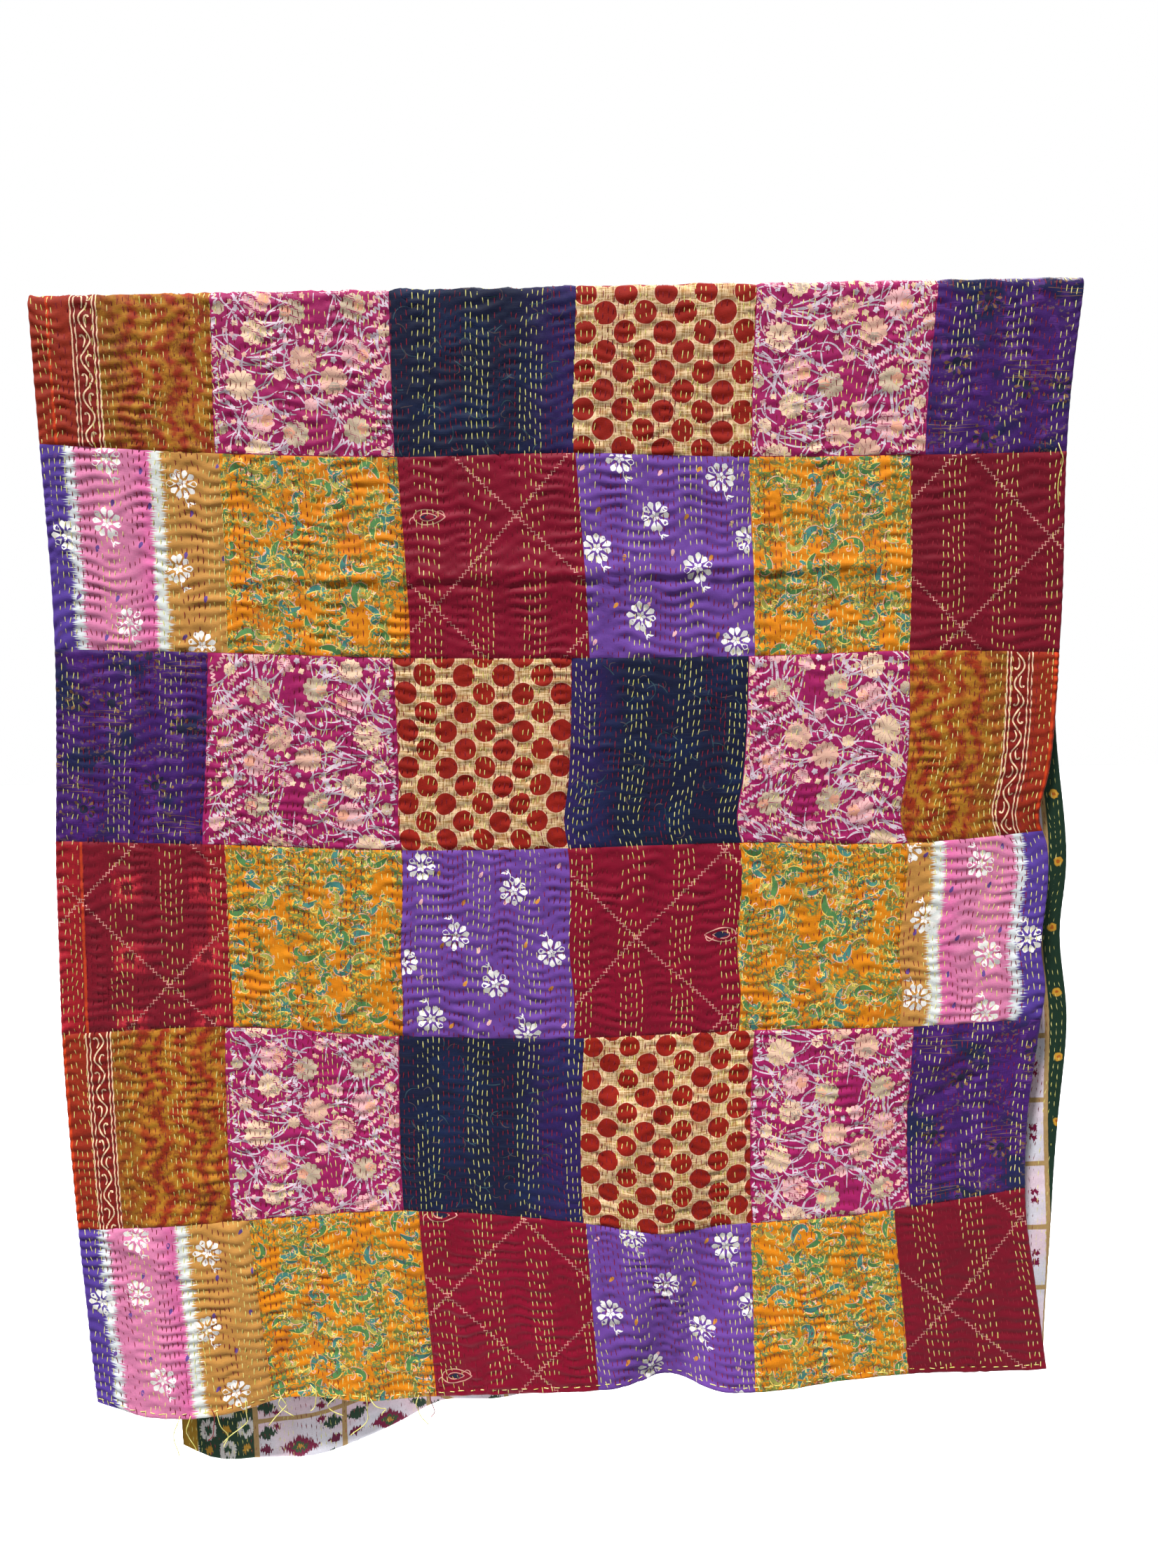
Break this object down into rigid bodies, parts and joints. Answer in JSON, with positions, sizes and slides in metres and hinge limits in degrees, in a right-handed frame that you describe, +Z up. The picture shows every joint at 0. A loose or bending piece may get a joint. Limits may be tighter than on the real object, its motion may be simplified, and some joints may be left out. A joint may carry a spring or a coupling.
{
  "type": "kantha quilt",
  "caption": "Patchwork kantha quilt with a printed backing, hung over a line and folded so that its two flaps hang down, with wavy side edges and a softly fluted hem",
  "frame": {"origin": "the middle of the top of the fold, where the quilt hangs over its line", "axes": "+X along the fold to the right as the front is seen, -Y out of the front flap, +Z up"},
  "size_m": [1.26, 0.123, 1.4828],
  "materials": {
    "patchwork_top": "soft cotton and silk patchwork with running stitches",
    "printed_backing": "soft printed cotton with running stitches"
  },
  "bodies": {
    "root": {"quilt_top": "patchwork_top", "quilt_backing": "printed_backing"}
  },
  "joints": []
}
